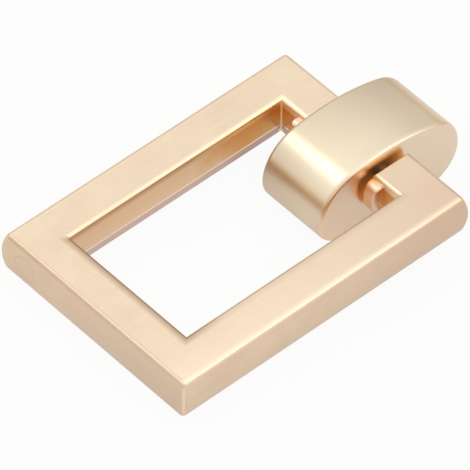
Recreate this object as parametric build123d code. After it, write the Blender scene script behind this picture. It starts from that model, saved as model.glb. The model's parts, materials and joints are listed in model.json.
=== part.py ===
from build123d import *
import os
from math import asin, atan, atan2, cos, degrees, hypot, pi, sin, sqrt, tan

# Cabinet ring pull: a square-cornered ring with barrel-shaped outer walls, hung on a cross pin
# in an oval post that is screwed to the furniture through its flat back.
# Millimetres. The pull lies on its back as it does on a bench: origin at the centre of the post's
# flat back, +Z out of the furniture, hinge along X, and the ring's free end towards -Y.

# Post: an oval loaf cut flat at the back
post_length = 33.0
post_width = 15.2
post_height = 16.0
crown_length = 19.6
crown_rise = 1.2
foot_length = 25.2
foot_round = 1.0
post_edge_round = 0.8
screw_hole_diameter = 3.3
screw_hole_depth = 7.0

# Hinge: a pin pressed through the post, its ends running in the ring
pin_diameter = 3.0
pin_height = 9.2
pin_setback = 0.9
pin_reach = 6.0
pin_end_gap = 0.4
pin_chamfer = 0.3
running_clearance = 0.05
side_play = 0.85

# Ring: overall sizes, measured across the swell of the walls
ring_length = 66.0
ring_width = 47.0
ring_thickness = 8.5
side_bar_width = 8.7
free_bar_width = 8.4
hinge_bar_width = 8.9
wall_swell = 0.6
edge_round = 0.8
window_top_round = 0.7
stub_top_round = 1.0
window_relief_height = 2.2
window_relief_depth = 0.35
stub_edge_round = 0.8

# Hinge lug on each stub, beside the post
lug_thickness = 2.7
lug_reach = 2.1
lug_drop = 1.2
lug_nose_round = 1.2
lug_edge_round = 0.7

# Headed pin that joins the side arm to the ring frame, driven from the free end and dressed flush
joint_head_diameter = 5.0
joint_head_depth = 5.0
joint_pin_diameter = 3.0
joint_pin_length = 16.0
joint_pin_inset = 6.3
joint_pin_chamfer = 0.3

# The post's shoulders run on from the crown and stand upright where the post is longest
crown_radius = crown_length**2 / (8 * crown_rise) + crown_rise / 2
crown_slope = asin(crown_length / 2 / crown_radius)
shoulder_radius = (post_length - crown_length) / 2 / (1 - sin(crown_slope))
waist_height = post_height - crown_rise - shoulder_radius * cos(crown_slope)

# Places that follow from the sizes above, in the flat ring's own frame: the hinge axis is X
top = ring_thickness / 2
half_width = ring_width / 2
window_side = half_width - side_bar_width
hinge_outside = hinge_bar_width / 2
hinge_inside = -hinge_bar_width / 2
free_end = hinge_outside - ring_length
window_end = free_end + free_bar_width
gap_width = post_width + 2 * side_play
window_relief_top = window_relief_height - top

# Droop that brings the rounded lower edge of the free end down onto the bench
corner_angle = pi / 2 + 2 * atan(2 * wall_swell / ring_thickness)
edge_inset = edge_round / tan(corner_angle / 2)
rest_arm = -(free_end + wall_swell + edge_inset)
rest_drop = top - edge_round
droop = degrees(asin((pin_height - edge_round) / hypot(rest_arm, rest_drop)) - atan2(rest_drop, rest_arm))


def hang(shape):
    """Set a shape of the flat ring onto the hinge, drooped until its free end rests."""
    return Pos(0, -pin_setback, pin_height) * Rot(X=droop) * shape


def box_between(low, high):
    """A box given by its lowest and highest corners."""
    size = [b - a for a, b in zip(low, high)]
    middle = [(a + b) / 2 for a, b in zip(low, high)]
    return Pos(*middle) * Box(*size)


def rod_along_x(diameter, low_x, high_x):
    """A round bar on the hinge axis of the flat ring."""
    return Pos((low_x + high_x) / 2, 0, 0) * Rot(Y=90) * Cylinder(diameter / 2, high_x - low_x)


def barrel_section(low, high):
    """Cross-section of the ring's block: flat top and bottom, swelling sides."""
    left, right = low + wall_swell, high - wall_swell
    outline = [
        Line((left, -top), (right, -top)),
        ThreePointArc((right, -top), (high, 0), (right, top)),
        Line((right, top), (left, top)),
        ThreePointArc((left, top), (low, 0), (left, -top)),
    ]
    return make_face(outline)


def ring_block():
    """Solid block whose four swelling walls meet in mitred corners, every edge eased."""
    along = extrude(Plane.XZ * barrel_section(-half_width, half_width), ring_length, both=True)
    across = extrude(Plane.YZ * barrel_section(free_end, hinge_outside), ring_width, both=True)
    block = along & across
    return fillet(block.edges(), edge_round)


def eased(edge, outward, level, size):
    """Quarter round where a cut's wall meets the ring's top (level 1) or bottom (level -1)."""
    near, far = level * (top - size), level * top
    share = sqrt(0.5)
    middle = (edge + outward * size * (1 - share), near + level * size * share)
    return ThreePointArc((edge, near), middle, (edge + outward * size, far))


def window_section(low, high, low_round, high_round):
    """Cross-section of the finger window: eased top edges, walls drawn back near the bottom."""
    outline = [
        Line((low - window_relief_depth, -ring_thickness), (high + window_relief_depth, -ring_thickness)),
        Line((low - low_round, ring_thickness), (high + high_round, ring_thickness)),
    ]
    for edge, outward, size in ((low, -1, low_round), (high, 1, high_round)):
        ease = eased(edge, outward, 1, size)
        foot = edge + outward * window_relief_depth
        outline.append(Polyline((foot, -ring_thickness), (foot, -top), (edge, window_relief_top), ease @ 0))
        outline.append(ease)
        outline.append(Line(ease @ 1, (edge + outward * size, ring_thickness)))
    return make_face(outline)


def cut_window(block):
    """Open the finger window; the two sections give it crisp mitred corners."""
    sides = window_section(-window_side, window_side, window_top_round, window_top_round)
    ends = window_section(window_end, hinge_inside, window_top_round, stub_top_round)
    along = extrude(Plane.XZ * sides, ring_length, both=True)
    across = extrude(Plane.YZ * ends, ring_width, both=True)
    return block - (along & across)


def cut_hinge_gap(frame):
    """Part the hinge bar for the post; the cut flares to ease the stub ends' edges."""
    outline = []
    for level in (-1, 1):
        left = eased(-gap_width / 2, -1, level, stub_edge_round)
        right = eased(gap_width / 2, 1, level, stub_edge_round)
        beyond = Vector(0, level * ring_thickness)
        outline += [left, right, Polyline(left @ 1, (left @ 1) + beyond, (right @ 1) + beyond, right @ 1)]
    for side in (-1, 1):
        low, high = (eased(side * gap_width / 2, side, level, stub_edge_round) @ 0 for level in (-1, 1))
        outline.append(Line(low, high))
    gap = extrude(Plane.XZ * make_face(outline), hinge_bar_width, both=True)
    return frame - gap


def hinge_lug():
    """Lug that thickens a stub around the pin, its nose round about the pin, on the +X side."""
    inner, outer = gap_width / 2, gap_width / 2 + lug_thickness
    nose_reach = lug_reach - hinge_inside
    root = hinge_inside + stub_top_round + window_relief_depth
    lug = box_between((inner, -nose_reach, -top), (outer, root, top - lug_drop))
    lug = lug & rod_along_x(2 * nose_reach, inner, outer)
    nose = [edge for edge in lug.edges().filter_by(Axis.X) if edge.center().Y < hinge_inside]
    lug = fillet(nose, lug_nose_round)
    outside = lug.faces().sort_by(Axis.X)[-1]
    rim = [edge for edge in outside.edges() if edge.center().Y < hinge_inside]
    return fillet(rim, lug_edge_round)


def ring():
    """The whole ring, drilled for the hinge pin, before it is parted for assembly."""
    whole = cut_hinge_gap(cut_window(ring_block()))
    lug = hinge_lug()
    whole = whole + lug + mirror(lug, about=Plane.YZ)
    bore_end = post_width / 2 + pin_reach + pin_end_gap
    return whole - rod_along_x(pin_diameter + 2 * running_clearance, -bore_end, bore_end)


def joint_pin():
    """Headed pin along the side arm, its head dressed to the swell of the free bar."""
    from_end = Plane(origin=(joint_pin_inset - half_width, free_end, 0), z_dir=(0, 1, 0))
    head = extrude(from_end * Circle(joint_head_diameter / 2), joint_head_depth)
    shank = extrude(from_end * Circle(joint_pin_diameter / 2), joint_pin_length)
    tip = shank.edges().filter_by(GeomType.CIRCLE).sort_by(Axis.Y)[-1]
    return (head + chamfer(tip, joint_pin_chamfer)) & ring_block()


def post_profile():
    """Half-oval outline: crown, round shoulders upright at the widest, flanks drawn in to a flat back."""
    crown_end = (crown_length / 2, post_height - crown_rise)
    widest = (post_length / 2, waist_height)
    crown = ThreePointArc((-crown_end[0], crown_end[1]), (0, post_height), crown_end)
    shoulder = TangentArc(crown_end, widest, tangent=crown % 1)
    flank = TangentArc(widest, (foot_length / 2, 0), tangent=shoulder % 1)
    right = Curve() + [shoulder, flank]
    left = mirror(right, about=Plane.YZ)
    back = Line((-foot_length / 2, 0), (foot_length / 2, 0))
    return make_face([crown, *right.edges(), back, *left.edges()])


def post():
    """The loaf with its edges eased, bored across for the pin and up from the back for the screw."""
    loaf = extrude(Plane.YZ * post_profile(), post_width / 2, both=True)
    foot_edges = loaf.edges().filter_by(Axis.X).group_by(Axis.Z)[0]
    loaf = fillet(foot_edges, foot_round)
    ends = loaf.faces().filter_by(Axis.X)
    loaf = fillet(ends.edges(), post_edge_round)
    bore = Pos(0, -pin_setback, pin_height) * rod_along_x(pin_diameter, -post_width, post_width)
    screw_hole = Pos(0, 0, screw_hole_depth / 2) * Cylinder(screw_hole_diameter / 2, screw_hole_depth)
    return loaf - bore - screw_hole


def hinge_pin():
    """Plain ground pin with eased ends."""
    end = post_width / 2 + pin_reach
    pin = rod_along_x(pin_diameter, -end, end)
    pin = chamfer(pin.edges().filter_by(GeomType.CIRCLE), pin_chamfer)
    return Pos(0, -pin_setback, pin_height) * pin


def main():
    os.makedirs("parts", exist_ok=True)
    whole = ring()
    dowel = joint_pin()
    arm_side = box_between((-ring_width, window_end, -ring_thickness), (0, ring_length, ring_thickness))
    pieces = {
        "post": post(),
        "hinge_pin": hinge_pin(),
        "ring_frame": hang(whole - arm_side - dowel),
        "side_arm": hang((whole & arm_side) - dowel),
        "joint_pin": hang(dowel),
    }
    for name, piece in pieces.items():
        export_step(piece, f"parts/{name}.step")
        print(name, round(piece.volume), "mm3")
    print("droop", round(droop, 3), "degrees")


main()
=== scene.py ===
import json
import math
from types import SimpleNamespace

import bpy
from mathutils import Matrix, Vector

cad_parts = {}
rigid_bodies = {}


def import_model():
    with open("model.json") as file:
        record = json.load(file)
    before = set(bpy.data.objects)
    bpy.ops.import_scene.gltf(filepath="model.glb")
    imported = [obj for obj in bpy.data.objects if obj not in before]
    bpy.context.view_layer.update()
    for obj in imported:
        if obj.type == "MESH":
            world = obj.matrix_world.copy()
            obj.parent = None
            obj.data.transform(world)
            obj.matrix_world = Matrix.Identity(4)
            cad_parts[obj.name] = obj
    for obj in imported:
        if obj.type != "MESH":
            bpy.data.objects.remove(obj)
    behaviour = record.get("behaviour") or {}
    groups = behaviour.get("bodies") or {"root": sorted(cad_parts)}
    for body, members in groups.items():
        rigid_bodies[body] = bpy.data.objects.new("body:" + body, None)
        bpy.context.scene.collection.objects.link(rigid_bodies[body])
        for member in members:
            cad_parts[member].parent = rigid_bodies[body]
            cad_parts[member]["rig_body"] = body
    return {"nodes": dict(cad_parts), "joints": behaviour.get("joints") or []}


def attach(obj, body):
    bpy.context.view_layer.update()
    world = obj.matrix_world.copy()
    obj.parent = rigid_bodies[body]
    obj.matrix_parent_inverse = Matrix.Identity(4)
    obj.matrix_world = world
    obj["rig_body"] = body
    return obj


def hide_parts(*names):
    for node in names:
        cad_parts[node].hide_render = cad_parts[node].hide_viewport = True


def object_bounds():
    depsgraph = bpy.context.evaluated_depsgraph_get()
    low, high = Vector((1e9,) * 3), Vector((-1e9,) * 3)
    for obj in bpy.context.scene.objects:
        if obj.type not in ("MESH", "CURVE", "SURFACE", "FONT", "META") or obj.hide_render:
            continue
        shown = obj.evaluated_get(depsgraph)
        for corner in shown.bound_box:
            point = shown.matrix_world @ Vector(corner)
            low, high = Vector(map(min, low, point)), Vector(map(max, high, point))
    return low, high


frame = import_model()
cad_low, cad_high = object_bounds()

# Cabinet ring pull, lying on its back: a square-cornered ring of satin champagne brass that swings
# on a pin through an oval post. Metres, in the frame of the solids: +Z out of the furniture,
# the hinge along X, the ring's free end towards -Y.

MM = 0.001

# The photograph's view: a long lens, the object's box centre away from the middle of the picture
PICTURE_SIZE = 470
FOCAL_PIXELS = 8000
PIXELS_PER_METRE = 5834
CENTRE_PIXEL = (263.8, 210.6)
VIEW_AZIMUTH = math.radians(43.25)
VIEW_ELEVATION = math.radians(44.61)
VIEW_ROLL = math.radians(6.37)
SENSOR_WIDTH = 36.0

# Sizes of the ring that its tones follow
SIDE_BAR = 8.7 * MM
FREE_BAR = 8.4 * MM
HINGE_BAR = 8.9 * MM
HINGE_GAP = 16.9 * MM
LUG_THICKNESS = 2.7 * MM
RELIEF_HEIGHT = 2.2 * MM
JOINT_HEAD_RADIUS = 2.5 * MM
JOINT_PIN_INSET = 6.3 * MM

# How far the long bars' and the hinge bar's outer edges are drawn in, to swell their walls more;
# it starts one edge zone in from the wall and is whole after the fade
UPPER_EDGE_DRAW = 0.42 * MM
LOWER_EDGE_DRAW = 0.2 * MM
EDGE_ZONE = 3.0 * MM
EDGE_FADE = 1.5 * MM

# Faces this close to level count as the ring's upper faces
LEVEL_WITHIN = math.radians(10)

# How the pieces' triangles are joined and shaded
JOIN_DISTANCE = 0.002 * MM
SMOOTH_ANGLE = math.radians(32)

# The two brasses: grain left by the brush, clouds in the lacquer, and tones and roughness that go from
# the first to the second as the sum of both patterns goes through the wear. The real grain is finer,
# and is drawn this coarse so that it shows.
RING_FINISH = SimpleNamespace(
    grain_width=0.2 * MM,
    grain_length=12 * MM,
    grain_depth=0.02 * MM,
    grain_strength=0.3,
    grain_raggedness=0.65,
    cloud_size=7 * MM,
    cloud_raggedness=0.6,
    detail=3.0,
    wear=(0.63, 1.37),
    tones=("#DEC8AC", "#EBD7BD"),
    roughness=(0.26, 0.4),
)
POST_FINISH = SimpleNamespace(
    grain_width=0.12 * MM,
    grain_length=0.7 * MM,
    grain_depth=0.01 * MM,
    grain_strength=0.08,
    grain_raggedness=0.6,
    cloud_size=6 * MM,
    cloud_raggedness=0.5,
    detail=2.0,
    wear=(0.4, 1.6),
    tones=("#DECEB3", "#E7D8BF"),
    roughness=(0.26, 0.34),
)
STUB_ROUGHNESS = 0.12

# Tones that lie over the ring's brass: painted shade, highlights, sheen and reflection, and a real
# hairline at the joint
# Painted shade on the open faces, deeper towards the +X stub
PAINTED_SHADE_TOP = "#D9C1A8"
# Painted sheen down the +X bar's outer part
PAINTED_SHEEN_TOP = "#EFDAC0"
# Painted brown shade on the window's +X and -Y rims
PAINTED_SHADE_RIM = "#A08064"
# Painted cream highlight on the window's -X and +Y rims
PAINTED_HIGHLIGHT_RIM = "#F7E4C6"
# Painted highlight along the outer upper edges of the bars
PAINTED_EDGE_HIGHLIGHT = "#F3DFC5"
# Painted shade along the free end's upper edge, dimming its highlight
PAINTED_EDGE_SHADE = "#C6B098"
# Painted shade on the free end's wall, in patches towards +X
PAINTED_SHADE_END = "#D8C4AD"
# Painted highlight on the free end's upright corner at +X
PAINTED_CORNER_HIGHLIGHT = "#F1DDC4"
# Painted light on the lugs: lighter and rosier than their brass
PAINTED_LIGHT_LUG = "#F6D1B3"
# Stub ends that face the post: bare, smoother brass, painted a saturated amber that stands in for the glow
# of light bounced between stub and post
BARE_STUB_AMBER_GLOW = "#FFBC68"
JOINT_HAIRLINE = "#D0B69E"
# Painted highlight line in the window's corners by the hinge bar
PAINTED_CREASE_HIGHLIGHT = "#FAE3C6"

# Tones of the window's walls, up from the relieved foot to the rim, far from the post and beside it. They
# are painted light: a painted floor reflection at the foot, a painted highlight on the ridge, deeper
# painted shade up the wall and under the rim, and beside the post a painted amber reflection of it with a
# painted highlight under the rim.
FAR_WALL_PAINTED_LIGHT = ("#D6BEB2", "#FFE6D2", "#FFE6D2", "#E9CCA8", "#E3C098", "#C2A07A")
POST_WALL_PAINTED_LIGHT = ("#C8AC9E", "#FFF0DF", "#FFF0DF", "#E2AC62", "#E4A24E", "#FFD294")

# Painted shade and light that lie over the post's brass
# Painted shade on the post's round towards -X
PAINTED_SHADE_ROUND = "#D4C5AB"
# Painted light on the post's end faces
PAINTED_LIGHT_POST_END = "#E9DAC1"
# Painted reflection of the ring on the post's end faces, towards it
PAINTED_RING_REFLECTION_POST_END = "#F5DEC3"

# Ground steel of the pin
GRINDING_MARK = 0.3 * MM
PIN_ROUGHNESS = (0.22, 0.34)
PIN_TONE = "#B7B4AE"

# Floor, and how much of it glows white to the eye and in the metal
FLOOR_SIZE = 2.0
FLOOR_GAP = 0.02 * MM
FLOOR_PAINT = "#DDD0CA"
GLOW_TO_EYE = 0.94
GLOW_IN_METAL = 0.55

# The room's tones, from its floor at 0 to its ceiling at 1, with a warm band at the horizon
ROOM_TONES = (
    (0.48, "#CEC8C2"),
    (0.5, "#B17E38"),
    (0.525, "#C8A265"),
    (0.565, "#CDC7BD"),
    (0.75, "#D0CFD1"),
    (0.95, "#FFFFFE"),
)
ROOM_STRENGTH = 1.3

# Lamps: name, direction from the object, width and height, watts
SOFTBOX_DISTANCE = 0.6
SOFTBOXES = (
    ("key_softbox", (-0.48, -0.26, 0.84), (0.26, 0.26), 0.26),
    ("front_softbox", (-0.48, -0.75, 0.42), (0.4, 0.4), 0.15),
    ("right_softbox", (0.7, 0.53, 0.48), (0.3, 0.4), 0.36),
)

# Places of the two colours and of the result among the sockets of a colour Mix node
MIX_BASE, MIX_OVER, MIX_RESULT = 6, 7, 2

# Width of a fade that looks like a sharp edge
CRISP = 0.01 * MM

hinge_point = Vector(frame["joints"][0]["pos_m"])


def ring_droop():
    """Angle by which the ring hangs below the level, from the normal of its upper faces."""
    upper = Vector()
    for face in frame["nodes"]["ring_frame"].data.polygons:
        if face.normal.z > math.cos(LEVEL_WITHIN):
            upper += face.normal * face.area
    return math.atan2(-upper.y, upper.z)


droop = ring_droop()
to_flat_ring = Matrix.Rotation(-droop, 4, "X") @ Matrix.Translation(-hinge_point)


def flat_ring_bounds():
    """Lowest and highest corner of the ring in its own flat frame, the hinge axis at its origin."""
    corners = [to_flat_ring @ v.co for v in frame["nodes"]["ring_frame"].data.vertices]
    low = Vector([min(c[axis] for c in corners) for axis in range(3)])
    high = Vector([max(c[axis] for c in corners) for axis in range(3)])
    return low, high


ring_low, ring_high = flat_ring_bounds()
window_side = ring_high.x - SIDE_BAR
window_end = ring_low.y + FREE_BAR
hinge_inside = ring_high.y - HINGE_BAR
window_middle = (hinge_inside + window_end) / 2
window_half = (hinge_inside - window_end) / 2


def linear(hex_colour):
    """An sRGB hex colour as linear RGBA."""
    parts = [int(hex_colour[i:i + 2], 16) / 255 for i in (1, 3, 5)]
    return [p / 12.92 if p <= 0.04045 else ((p + 0.055) / 1.055) ** 2.4 for p in parts] + [1.0]


def add(tree, kind, links=None, inputs=None, **settings):
    """Add one node with its settings, its constant inputs and its links from other sockets."""
    made = tree.nodes.new(kind)
    for name, value in settings.items():
        setattr(made, name, value)
    for name, value in (inputs or {}).items():
        made.inputs[name].default_value = value
    for name, socket in (links or {}).items():
        tree.links.new(socket, made.inputs[name])
    return made


def new_material(name):
    """An empty node material and its output node."""
    material = bpy.data.materials.new(name)
    material.use_nodes = True
    material.node_tree.nodes.clear()
    output = material.node_tree.nodes.new("ShaderNodeOutputMaterial")
    return material, material.node_tree, output


def set_stops(ramp, stops):
    """Give a colour ramp its stops, (level, tone) from the lowest to the highest."""
    elements = ramp.color_ramp.elements
    elements[0].position, elements[-1].position = stops[0][0], stops[-1][0]
    for level, _ in stops[1:-1]:
        elements.new(level)
    for element, (_, tone) in zip(elements, stops):
        element.color = linear(tone)


def overlap(tree, *spans, share=None):
    """Share of a coat that each span (value, start, end) fades in: whole where all have ended."""
    for value, start, end in spans:
        fade = add(tree, "ShaderNodeMapRange", {"Value": value}, {"From Min": start, "From Max": end})
        if share is not None:
            tree.links.new(share, fade.inputs["To Max"])
        share = fade.outputs["Result"]
    return share


def coat(tree, base, coats):
    """Lay tones over a base colour, one after another, each by its own share."""
    for tone, share in coats:
        mixed = add(tree, "ShaderNodeMix", {"Factor": share, MIX_BASE: base}, {MIX_OVER: linear(tone)},
                    data_type="RGBA")
        base = mixed.outputs[MIX_RESULT]
    return base


def worn_brass(tree, point, finish):
    """A brass's grain, drawn out along Y, and clouds; both together wear its tone and roughness."""
    stretched = add(tree, "ShaderNodeMapping", {"Vector": point},
                    {"Scale": (1 / finish.grain_width, 1 / finish.grain_length, 1 / finish.grain_width)})
    grain = add(tree, "ShaderNodeTexNoise", {"Vector": stretched.outputs["Vector"]},
                {"Scale": 1.0, "Detail": finish.detail, "Roughness": finish.grain_raggedness})
    clouds = add(tree, "ShaderNodeTexNoise", {"Vector": point},
                 {"Scale": 1 / finish.cloud_size, "Detail": finish.detail,
                  "Roughness": finish.cloud_raggedness})
    both = add(tree, "ShaderNodeMath", {0: grain.outputs["Fac"], 1: clouds.outputs["Fac"]},
               operation="ADD")
    least, most = finish.wear
    wear = add(tree, "ShaderNodeMapRange", {"Value": both.outputs[0]},
               {"From Min": least, "From Max": most})
    dark, light = (linear(tone) for tone in finish.tones)
    tone = add(tree, "ShaderNodeMix", {"Factor": wear.outputs["Result"]},
               {MIX_BASE: dark, MIX_OVER: light}, data_type="RGBA")
    smooth, rough = finish.roughness
    roughness = add(tree, "ShaderNodeMapRange", {"Value": wear.outputs["Result"]},
                    {"To Min": smooth, "To Max": rough})
    relief = add(tree, "ShaderNodeBump", {"Height": grain.outputs["Fac"]},
                 {"Strength": finish.grain_strength, "Distance": finish.grain_depth})
    return SimpleNamespace(clouds=clouds.outputs["Fac"], tone=tone.outputs[MIX_RESULT],
                           roughness=roughness.outputs["Result"], relief=relief.outputs["Normal"])


def metal_surface(tree, output, tone, roughness, relief):
    """Metal with a tone, a roughness and a fine relief, as the material's surface."""
    shader = add(tree, "ShaderNodeBsdfPrincipled",
                 {"Base Color": tone, "Roughness": roughness, "Normal": relief}, {"Metallic": 1.0})
    tree.links.new(shader.outputs["BSDF"], output.inputs["Surface"])


def ring_places(tree):
    """A point's place in the flat ring: as a vector, along each axis and off the middle plane."""
    place = add(tree, "ShaderNodeTexCoord")
    flat = add(tree, "ShaderNodeMapping", {"Vector": place.outputs["Object"]},
               {"Location": to_flat_ring.translation, "Rotation": (-droop, 0, 0)})
    axes = add(tree, "ShaderNodeSeparateXYZ", {"Vector": flat.outputs["Vector"]})
    aside = add(tree, "ShaderNodeMath", {0: axes.outputs["X"]}, operation="ABSOLUTE")
    return SimpleNamespace(point=flat.outputs["Vector"], x=axes.outputs["X"], y=axes.outputs["Y"],
                           z=axes.outputs["Z"], aside=aside.outputs[0])


def window_outline(tree, at):
    """How far a point lies past the window's outline, and how far towards its -X and +Y sides."""
    centred = add(tree, "ShaderNodeMapping", {"Vector": at.point}, {"Location": (0, -window_middle, 0)})
    reach = add(tree, "ShaderNodeVectorMath", {0: centred.outputs["Vector"]}, operation="ABSOLUTE")
    excess = add(tree, "ShaderNodeVectorMath", {0: reach.outputs["Vector"]},
                 {1: (window_side, window_half, 0)}, operation="SUBTRACT")
    axes = add(tree, "ShaderNodeSeparateXYZ", {"Vector": excess.outputs["Vector"]})
    past = add(tree, "ShaderNodeMath", {0: axes.outputs["X"], 1: axes.outputs["Y"]}, operation="MAXIMUM")
    facing = add(tree, "ShaderNodeVectorMath", {0: centred.outputs["Vector"]},
                 {1: (-1 / window_side, 1 / window_half, 0)}, operation="DOT_PRODUCT")
    return SimpleNamespace(past=past.outputs[0], facing=facing.outputs["Value"])


def painted_top_light(tree, at):
    """Slow painted light over the open faces: painted shade deeper towards the +X stub, a painted sheen
    down the +X bar's outer part.
    """
    towards_hinge = (at.y, -32 * MM, 4 * MM)
    towards_side = (at.x, 2 * MM, 18 * MM)
    towards_free_end = (at.y, -14 * MM, -60 * MM)
    outer_part = (at.x, 15 * MM, 21 * MM)
    top_face = (at.z, ring_high.z - 1.2 * MM, ring_high.z - 0.4 * MM)
    return [
        (PAINTED_SHADE_TOP, overlap(tree, towards_hinge, towards_side)),
        (PAINTED_SHEEN_TOP, overlap(tree, towards_free_end, outer_part, top_face)),
    ]


def painted_rim_light(tree, at, window):
    """The window's eased rims: a painted cream highlight on the -X and +Y sides, painted brown shade on
    the others.
    """
    corner_turn = 0.04
    cream_side = (window.facing, -corner_turn, corner_turn)
    brown_side = (window.facing, corner_turn, -corner_turn)
    cream_band = (window.past, 1.05 * MM, 0.45 * MM)
    brown_band = (window.past, 1.9 * MM, 0.1 * MM)

    # The painted brown shade weakens away from the free bar
    fade_length, weakest = 8 * MM, 0.3
    fading = add(tree, "ShaderNodeMapRange", {"Value": at.y},
                 {"From Min": window_end + fade_length, "From Max": window_end, "To Min": weakest})
    return [
        (PAINTED_SHADE_RIM, overlap(tree, brown_side, brown_band, share=fading.outputs["Result"])),
        (PAINTED_HIGHLIGHT_RIM, overlap(tree, cream_side, cream_band)),
    ]


def painted_edge_light(tree, at):
    """Outer upper edges: a painted highlight along the bars, least at the hinge, and painted shade along
    the free end.
    """
    weakest_highlight = 0.3
    growing = add(tree, "ShaderNodeMapRange", {"Value": at.y},
                  {"From Min": ring_high.y, "From Max": ring_low.y, "To Min": weakest_highlight})
    side_edge = (at.aside, ring_high.x - 2.0 * MM, ring_high.x - 1.3 * MM)
    upper_part = (at.z, ring_high.z - 1.0 * MM, ring_high.z - 0.5 * MM)
    painted_highlight = overlap(tree, side_edge, upper_part, share=growing.outputs["Result"])

    # The painted shade along the free end stops short of the corners
    front_line = ring_low.y + 0.86 * MM
    off_line = add(tree, "ShaderNodeMath", {0: at.y}, {1: front_line}, operation="SUBTRACT")
    off_line = add(tree, "ShaderNodeMath", {0: off_line.outputs[0]}, operation="ABSOLUTE")
    front_edge = (off_line.outputs[0], 0.5 * MM, 0.15 * MM)
    above_swell = (at.z, ring_high.z - 1.0 * MM, ring_high.z - 0.6 * MM)
    off_corners = (at.aside, ring_high.x - 1.1 * MM, ring_high.x - 1.8 * MM)
    painted_shade = overlap(tree, front_edge, above_swell, off_corners)
    return [(PAINTED_EDGE_HIGHLIGHT, painted_highlight), (PAINTED_EDGE_SHADE, painted_shade)]


def painted_end_light(tree, at, clouds):
    """Painted shade on the free end's wall, darker towards +X in patches, and a painted highlight on its
    upright corner there.
    """
    shade_start, shade_full, strongest_shade = -14 * MM, 20 * MM, 1.2
    shade_growth = add(tree, "ShaderNodeMapRange", {"Value": at.x},
                  {"From Min": shade_start, "From Max": shade_full, "To Max": strongest_shade})
    patchy = add(tree, "ShaderNodeMath", {0: shade_growth.outputs["Result"], 1: clouds}, operation="MULTIPLY")
    end_wall = (at.y, ring_low.y + 1.0 * MM, ring_low.y + 0.6 * MM)
    painted_shade = overlap(tree, end_wall, share=patchy.outputs[0])

    # The corner's own line is where X and Y add up to what they are at the corner
    off_corner = add(tree, "ShaderNodeMath", {0: at.x, 1: at.y}, operation="ADD")
    off_corner = add(tree, "ShaderNodeMath", {0: off_corner.outputs[0]}, {1: ring_high.x + ring_low.y},
                     operation="SUBTRACT")
    off_corner = add(tree, "ShaderNodeMath", {0: off_corner.outputs[0]}, operation="ABSOLUTE")
    upright = (off_corner.outputs[0], 0.6 * MM, 0.2 * MM)
    below_top = (at.z, ring_high.z - 0.6 * MM, ring_high.z - 1.0 * MM)
    free_end = (at.y, ring_low.y + 2.2 * MM, ring_low.y + 1.6 * MM)
    painted_highlight = overlap(tree, upright, below_top, free_end)
    return [(PAINTED_SHADE_END, painted_shade), (PAINTED_CORNER_HIGHLIGHT, painted_highlight)]


def painted_wall_tone(tree, at, clouds):
    """The window's walls in painted light: deeper gold painted shade, a painted amber reflection beside
    the post, a painted floor reflection at their relieved foot and a painted highlight on the ridge above
    it.
    """
    height = add(tree, "ShaderNodeMapRange", {"Value": at.z},
                 {"From Min": ring_low.z, "From Max": ring_high.z})
    foot = RELIEF_HEIGHT / (ring_high.z - ring_low.z)
    # Levels of the wall's tones, as shares of the bar's thickness
    levels = (foot - 0.03, foot - 0.01, foot + 0.02, foot + 0.04, 0.8, 0.9)
    walls = []
    for tones in (FAR_WALL_PAINTED_LIGHT, POST_WALL_PAINTED_LIGHT):
        ramp = add(tree, "ShaderNodeValToRGB", {"Fac": height.outputs["Result"]})
        set_stops(ramp, list(zip(levels, tones)))
        walls.append(ramp.outputs["Color"])

    # The painted amber reflection starts unevenly and is a little weaker in the corner by the hinge bar
    unevenness = 16 * MM
    amber_start, amber_full = -19 * MM, -4 * MM
    corner_start, corner_full, corner_share = -13 * MM, -6 * MM, 0.85
    uneven = add(tree, "ShaderNodeMath", {0: clouds, 2: at.y}, {1: unevenness}, operation="MULTIPLY_ADD")
    amber = add(tree, "ShaderNodeMapRange", {"Value": uneven.outputs[0]},
                {"From Min": amber_start, "From Max": amber_full}, interpolation_type="SMOOTHSTEP")
    amber = add(tree, "ShaderNodeMapRange", {"Value": at.y, "To Min": amber.outputs["Result"]},
                {"From Min": corner_start, "From Max": corner_full, "To Max": corner_share})
    wall = add(tree, "ShaderNodeMix",
               {"Factor": amber.outputs["Result"], MIX_BASE: walls[0], MIX_OVER: walls[1]},
               data_type="RGBA")

    # A painted highlight line stands in the window's corners by the hinge bar
    side_wall = (at.aside, window_side - 0.32 * MM, window_side - 0.12 * MM)
    hinge_wall = (at.y, hinge_inside - 0.32 * MM, hinge_inside - 0.12 * MM)
    return coat(tree, wall.outputs[MIX_RESULT], [(PAINTED_CREASE_HIGHLIGHT, overlap(tree, side_wall, hinge_wall))])


def wall_share(tree, at, window, lug):
    """Whole on the window's walls below their rims, lower at the hinge bar; none on the lugs."""
    rim_reach = 0.5 * MM
    bar_rim_drop = 1.48 * MM
    bar_front = hinge_inside - 0.3 * MM
    at_bar = add(tree, "ShaderNodeMath", {0: at.y}, {1: bar_front}, operation="GREATER_THAN")
    raised = add(tree, "ShaderNodeMath", {0: at_bar.outputs[0], 2: at.z}, {1: bar_rim_drop},
                 operation="MULTIPLY_ADD")
    below_rim = (raised.outputs[0], ring_high.z - 0.12 * MM, ring_high.z - 0.38 * MM)
    inside = overlap(tree, (window.past, rim_reach, rim_reach - CRISP), below_rim)
    share = add(tree, "ShaderNodeMath", {0: inside, 1: lug}, operation="SUBTRACT", use_clamp=True)
    return share.outputs[0]


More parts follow.
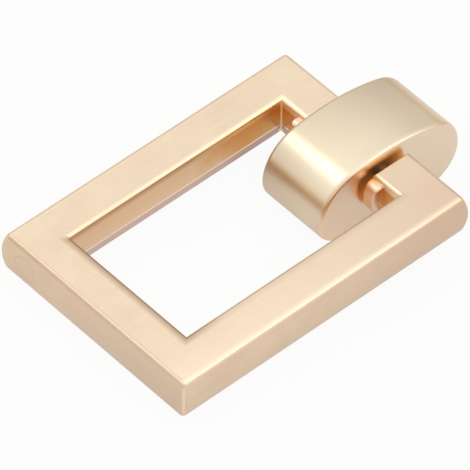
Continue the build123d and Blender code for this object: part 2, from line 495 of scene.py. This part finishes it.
def hinge_shares(tree, at):
    """Shares of the lugs in front of the hinge bar, and of the stub ends that face the post."""
    before_lug = 2 * hinge_inside
    lug_root = hinge_inside - 0.02 * MM
    lug_side = HINGE_GAP / 2 + LUG_THICKNESS + 0.1 * MM
    by_hinge = (at.y, before_lug, before_lug + CRISP)
    before_bar = (at.y, lug_root, lug_root - CRISP)
    beside_post = (at.aside, lug_side, lug_side - CRISP)
    facing_post = (at.aside, HINGE_GAP / 2 + 0.5 * MM, HINGE_GAP / 2 + 0.2 * MM)
    return overlap(tree, by_hinge, before_bar, beside_post), overlap(tree, by_hinge, facing_post)


def joint_line(tree, at):
    """Share of the hairline round the joint pin's head, dressed flush in the free end."""
    half_line = 0.07 * MM
    head_depth = ring_low.y + 2 * MM
    from_head = add(tree, "ShaderNodeMapping", {"Vector": at.point},
                    {"Location": (ring_high.x - JOINT_PIN_INSET, 0, 0), "Scale": (1, 0, 1)})
    from_head = add(tree, "ShaderNodeVectorMath", {0: from_head.outputs["Vector"]}, operation="LENGTH")
    line = add(tree, "ShaderNodeMath", {0: from_head.outputs["Value"]},
               {1: JOINT_HEAD_RADIUS, 2: half_line}, operation="COMPARE")
    return overlap(tree, (at.y, head_depth, head_depth - CRISP), share=line.outputs[0])


def ring_brass():
    """Brass brushed along the ring, under champagne lacquer: a rosy satin with long, soft highlights, and
    painted shade, highlights and reflections laid over it.
    """
    material, tree, output = new_material("champagne_brass_brushed")
    at = ring_places(tree)
    brass = worn_brass(tree, at.point, RING_FINISH)
    window = window_outline(tree, at)
    lug, stub = hinge_shares(tree, at)

    # Painted shade, highlights and sheen over the open faces, rims, edges, free end and lugs
    coats = painted_top_light(tree, at) + painted_rim_light(tree, at, window)
    coats += painted_edge_light(tree, at) + painted_end_light(tree, at, brass.clouds)
    coats.append((PAINTED_LIGHT_LUG, lug))
    open_tone = coat(tree, brass.tone, coats)
    tone = add(tree, "ShaderNodeMix",
               {"Factor": wall_share(tree, at, window, lug), MIX_BASE: open_tone,
                MIX_OVER: painted_wall_tone(tree, at, brass.clouds)}, data_type="RGBA")
    # Painted amber glow, on bare smoother brass, where the stub ends face the post; the joint pin's
    # hairline is a real seam
    coats = [(BARE_STUB_AMBER_GLOW, stub), (JOINT_HAIRLINE, joint_line(tree, at))]
    tone = coat(tree, tone.outputs[MIX_RESULT], coats)
    roughness = add(tree, "ShaderNodeMapRange", {"Value": stub, "To Min": brass.roughness},
                    {"To Max": STUB_ROUGHNESS})
    metal_surface(tree, output, tone, roughness.outputs["Result"], brass.relief)
    return material


def post_brass():
    """Fine satin brass, a little paler and greener than the ring: broad, even highlights, with painted
    shade and light laid over it.
    """
    material, tree, output = new_material("pale_brass_satin")
    place = add(tree, "ShaderNodeTexCoord")
    brass = worn_brass(tree, place.outputs["Object"], POST_FINISH)
    at = add(tree, "ShaderNodeSeparateXYZ", {"Vector": place.outputs["Object"]})
    aside = add(tree, "ShaderNodeMath", {0: at.outputs["X"]}, operation="ABSOLUTE")
    post_side = max(v.co.x for v in frame["nodes"]["post"].data.vertices)

    # Painted shade darkens the round towards -X; the end faces get painted light, and a rosy painted
    # reflection of the ring towards it
    shaded_side = (at.outputs["X"], 3 * MM, -8 * MM)
    end_face = (aside.outputs[0], post_side - 0.5 * MM, post_side - 0.1 * MM)
    towards_ring = (at.outputs["Y"], 0, -8 * MM)
    coats = [
        (PAINTED_SHADE_ROUND, overlap(tree, shaded_side)),
        (PAINTED_LIGHT_POST_END, overlap(tree, end_face)),
        (PAINTED_RING_REFLECTION_POST_END, overlap(tree, end_face, towards_ring)),
    ]
    tone = coat(tree, brass.tone, coats)
    metal_surface(tree, output, tone, brass.roughness, brass.relief)
    return material


def pin_steel():
    """Ground steel: grey and bright, its roughness broken by the grinding."""
    material, tree, output = new_material("ground_steel")
    place = add(tree, "ShaderNodeTexCoord")
    marks = add(tree, "ShaderNodeTexNoise", {"Vector": place.outputs["Object"]},
                {"Scale": 1 / GRINDING_MARK, "Detail": 2.0})
    smooth, rough = PIN_ROUGHNESS
    roughness = add(tree, "ShaderNodeMapRange", {"Value": marks.outputs["Fac"]},
                    {"To Min": smooth, "To Max": rough})
    shader = add(tree, "ShaderNodeBsdfPrincipled", {"Roughness": roughness.outputs["Result"]},
                 {"Metallic": 1.0, "Base Color": linear(PIN_TONE)})
    tree.links.new(shader.outputs["BSDF"], output.inputs["Surface"])
    return material


def swell_walls(piece):
    """Draw in the outer edges of the long bars and the hinge bar; the walls' middle stays in place."""
    from_flat_ring = to_flat_ring.inverted()
    zone_side = ring_high.x - EDGE_ZONE
    zone_back = ring_high.y - EDGE_ZONE
    for vertex in piece.data.vertices:
        spot = to_flat_ring @ vertex.co
        most = UPPER_EDGE_DRAW if spot.z > 0 else LOWER_EDGE_DRAW
        draw = most * (spot.z / ring_high.z) ** 2
        aside = (abs(spot.x) - zone_side) / EDGE_FADE
        behind = (spot.y - zone_back) / EDGE_FADE
        spot.x -= math.copysign(draw, spot.x) * min(1, max(0, aside))
        spot.y -= draw * min(1, max(0, behind))
        vertex.co = from_flat_ring @ spot


def smooth_copy(node):
    """A piece with the node's form, its loose triangles joined so that rounds shade smoothly."""
    source = frame["nodes"][node]
    body = source["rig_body"]
    piece = bpy.data.objects.new(node + "_finish", source.data.copy())
    bpy.context.scene.collection.objects.link(piece)
    bpy.ops.object.select_all(action="DESELECT")
    piece.select_set(True)
    bpy.context.view_layer.objects.active = piece
    bpy.ops.object.mode_set(mode="EDIT")
    bpy.ops.mesh.customdata_custom_splitnormals_clear()
    bpy.ops.mesh.select_all(action="SELECT")
    bpy.ops.mesh.remove_doubles(threshold=JOIN_DISTANCE)
    bpy.ops.object.mode_set(mode="OBJECT")
    if body == "ring":
        swell_walls(piece)
    bpy.ops.object.shade_smooth_by_angle(angle=SMOOTH_ANGLE)
    weighted = piece.modifiers.new("even_faces", "WEIGHTED_NORMAL")
    weighted.mode = "FACE_AREA"
    weighted.keep_sharp = True
    bpy.ops.object.modifier_apply(modifier=weighted.name)
    piece.data.materials.clear()
    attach(piece, body)
    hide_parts(node)
    return piece


def dress():
    """Give every piece its finish."""
    ring_finish, post_finish, pin_finish = ring_brass(), post_brass(), pin_steel()
    finishes = {
        "ring_frame": ring_finish,
        "side_arm": ring_finish,
        "post": post_finish,
        "joint_pin": ring_finish,
        "hinge_pin": pin_finish,
    }
    for node, finish in finishes.items():
        piece = smooth_copy(node)
        piece.data.materials.append(finish)


def white_floor():
    """A white sweep to lie on; the eye and the metal see it nearly white, with a soft shadow."""
    material, tree, output = new_material("white_sweep")
    ray = add(tree, "ShaderNodeLightPath")
    mirrored = add(tree, "ShaderNodeMath",
                   {0: ray.outputs["Is Glossy Ray"], 1: ray.outputs["Is Transmission Ray"]},
                   operation="ADD")
    glow_share = add(tree, "ShaderNodeMath", {0: mirrored.outputs[0]}, {1: GLOW_IN_METAL},
                     operation="MULTIPLY")
    glow_share = add(tree, "ShaderNodeMath", {0: ray.outputs["Is Camera Ray"], 2: glow_share.outputs[0]},
                     {1: GLOW_TO_EYE}, operation="MULTIPLY_ADD", use_clamp=True)
    paint = add(tree, "ShaderNodeBsdfDiffuse", inputs={"Color": linear(FLOOR_PAINT)})
    glow = add(tree, "ShaderNodeEmission", inputs={"Color": linear("#FFFFFF"), "Strength": 1.0})
    surface = add(tree, "ShaderNodeMixShader",
                  {0: glow_share.outputs[0], 1: paint.outputs["BSDF"], 2: glow.outputs["Emission"]})
    tree.links.new(surface.outputs["Shader"], output.inputs["Surface"])
    bpy.ops.object.select_all(action="DESELECT")
    bpy.ops.mesh.primitive_plane_add(size=FLOOR_SIZE, location=(0, 0, cad_low.z - FLOOR_GAP))
    floor = bpy.context.object
    floor.name = "floor"
    floor.data.materials.append(material)


def pale_room():
    """The world around the object: pale, brighter towards the ceiling, warm at the horizon."""
    world = bpy.data.worlds.new("pale_room")
    bpy.context.scene.world = world
    world.use_nodes = True
    tree = world.node_tree
    tree.nodes.clear()
    output = tree.nodes.new("ShaderNodeOutputWorld")
    look = add(tree, "ShaderNodeTexCoord")
    axes = add(tree, "ShaderNodeSeparateXYZ", {"Vector": look.outputs["Generated"]})
    height = add(tree, "ShaderNodeMapRange", {"Value": axes.outputs["Z"]},
                 {"From Min": -1.0, "From Max": 1.0})
    shade = add(tree, "ShaderNodeValToRGB", {"Fac": height.outputs["Result"]})
    set_stops(shade, ROOM_TONES)
    room = add(tree, "ShaderNodeBackground", {"Color": shade.outputs["Color"]},
               {"Strength": ROOM_STRENGTH})
    tree.links.new(room.outputs["Background"], output.inputs["Surface"])


def softboxes(target):
    """Soft lamps from above, from the front and from the far side, all facing the target."""
    for name, direction, (width, height), watts in SOFTBOXES:
        lamp = bpy.data.lights.new(name, "AREA")
        lamp.shape = "RECTANGLE"
        lamp.size, lamp.size_y = width, height
        lamp.energy = watts
        holder = bpy.data.objects.new(name, lamp)
        bpy.context.scene.collection.objects.link(holder)
        away = Vector(direction).normalized()
        holder.location = target + away * SOFTBOX_DISTANCE
        holder.rotation_mode = "QUATERNION"
        holder.rotation_quaternion = away.to_track_quat("Z", "Y")


def camera(target):
    """The photograph's view: long lens from above the free end, rolled a little."""
    sin_a, cos_a = math.sin(VIEW_AZIMUTH), math.cos(VIEW_AZIMUTH)
    sin_e, cos_e = math.sin(VIEW_ELEVATION), math.cos(VIEW_ELEVATION)
    back = Vector((sin_a * cos_e, -cos_a * cos_e, sin_e))
    level = Vector((cos_a, sin_a, 0))
    right = level * math.cos(VIEW_ROLL) + back.cross(level) * math.sin(VIEW_ROLL)
    up = back.cross(right)
    half = PICTURE_SIZE / 2
    aside = (half - CENTRE_PIXEL[0]) / PIXELS_PER_METRE
    above = (CENTRE_PIXEL[1] - half) / PIXELS_PER_METRE
    lens = bpy.data.cameras.new("camera")
    lens.sensor_width = SENSOR_WIDTH
    lens.lens = FOCAL_PIXELS * SENSOR_WIDTH / PICTURE_SIZE
    holder = bpy.data.objects.new("camera", lens)
    bpy.context.scene.collection.objects.link(holder)
    place = target + right * aside + up * above + back * (FOCAL_PIXELS / PIXELS_PER_METRE)
    turn = Matrix((right, up, back)).transposed().to_4x4()
    holder.matrix_world = Matrix.Translation(place) @ turn
    bpy.context.scene.camera = holder


middle = (cad_low + cad_high) / 2
dress()
white_floor()
pale_room()
softboxes(middle)
camera(middle)

bpy.context.scene.view_settings.view_transform = "Standard"
